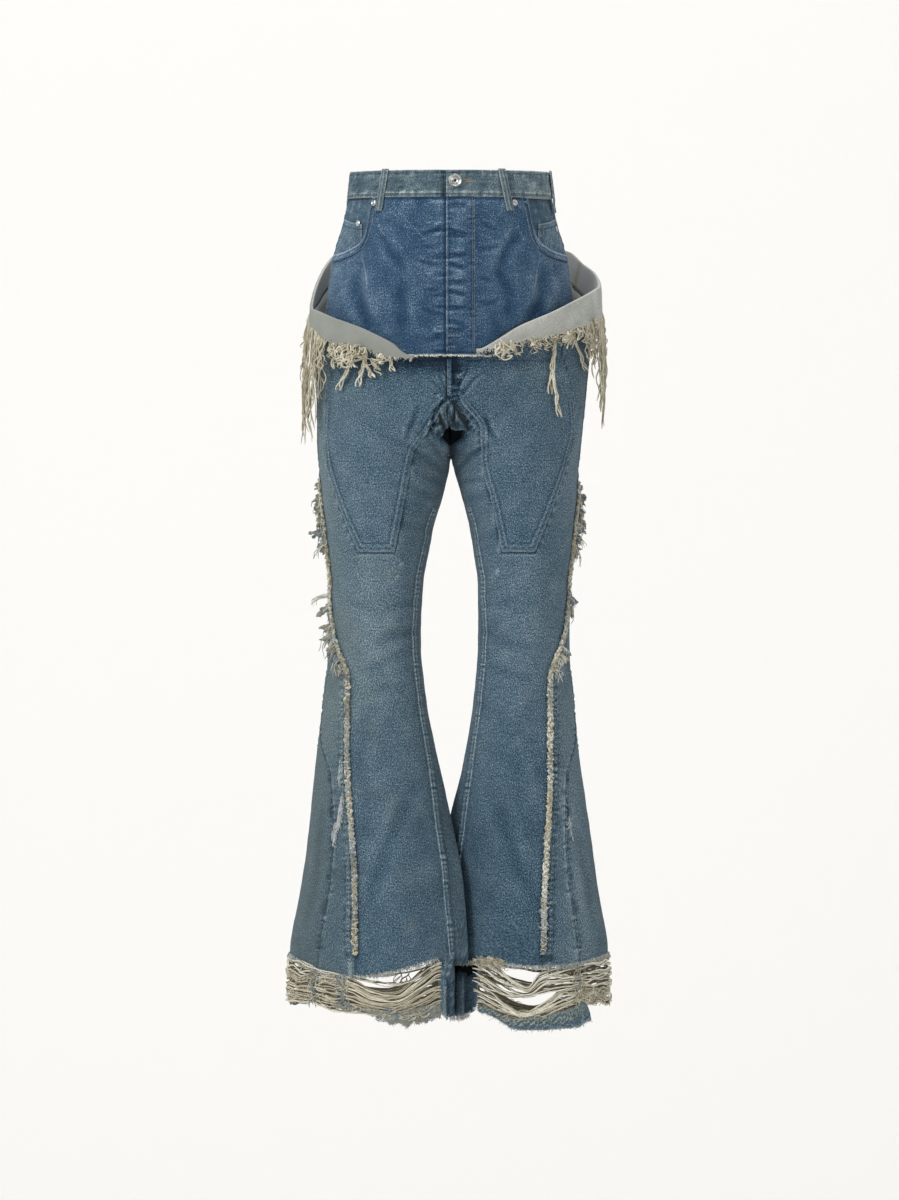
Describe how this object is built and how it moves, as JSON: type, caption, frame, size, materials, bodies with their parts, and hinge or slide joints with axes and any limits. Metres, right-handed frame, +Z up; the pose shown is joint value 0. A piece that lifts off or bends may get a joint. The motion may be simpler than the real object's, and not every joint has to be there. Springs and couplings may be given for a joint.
{
  "type": "bootcut jeans",
  "caption": "High-waisted bootcut denim jeans, hollow as if worn, with a folded hip layer, frayed side seams and loose yarn hems.",
  "frame": {"origin": "centre of the waistband, where the wearer holds it", "axes": "+Z up, the front faces -Y, +X to the right as seen from the front"},
  "size_m": [0.4369, 0.2611, 1.1613],
  "materials": {
    "dark_denim": "washed indigo twill, matte",
    "faded_denim": "faded blue-grey twill, matte",
    "denim_wrong_side": "grey wrong side of the twill, matte",
    "cotton_yarn": "loose unbleached cotton yarn",
    "steel_hardware": "worn silver-coloured metal"
  },
  "bodies": {
    "root": {"back_yoke_left": "dark_denim", "back_yoke_right": "dark_denim", "belt_loop_back": "faded_denim", "belt_loop_front_left": "faded_denim", "belt_loop_front_right": "faded_denim", "belt_loop_side_left": "faded_denim", "belt_loop_side_right": "faded_denim", "button": "steel_hardware", "coin_pocket_left": "dark_denim", "coin_pocket_right": "dark_denim", "crotch_gusset_left": "faded_denim", "crotch_gusset_right": "faded_denim", "fly_placket": "dark_denim", "fringe_back_left": "cotton_yarn", "fringe_back_right": "cotton_yarn", "fringe_front_left": "cotton_yarn", "fringe_front_right": "cotton_yarn", "fringe_hip_left": "cotton_yarn", "fringe_hip_right": "cotton_yarn", "godet_left": "faded_denim", "godet_right": "faded_denim", "hem_strip_back_left": "faded_denim", "hem_strip_back_right": "faded_denim", "hem_strip_front_left": "faded_denim", "hem_strip_front_right": "faded_denim", "hip_flap_left": "denim_wrong_side", "hip_flap_right": "denim_wrong_side", "leg_back_left": "faded_denim", "leg_back_right": "faded_denim", "leg_front_left": "faded_denim", "leg_front_right": "faded_denim", "pocket_facing_left": "dark_denim", "pocket_facing_right": "dark_denim", "rivet_coin_left": "steel_hardware", "rivet_front_left": "steel_hardware", "rivet_front_right": "steel_hardware", "rivet_side_right": "steel_hardware", "side_fray_left": "cotton_yarn", "side_fray_right": "cotton_yarn", "side_panel_left": "faded_denim", "side_panel_right": "faded_denim", "thigh_patch_left": "faded_denim", "thigh_patch_right": "faded_denim", "upper_front_left": "dark_denim", "upper_front_right": "dark_denim", "waistband": "faded_denim", "yarn_band_back_left": "cotton_yarn", "yarn_band_back_right": "cotton_yarn", "yarn_band_front_left": "cotton_yarn", "yarn_band_front_right": "cotton_yarn"}
  },
  "joints": []
}
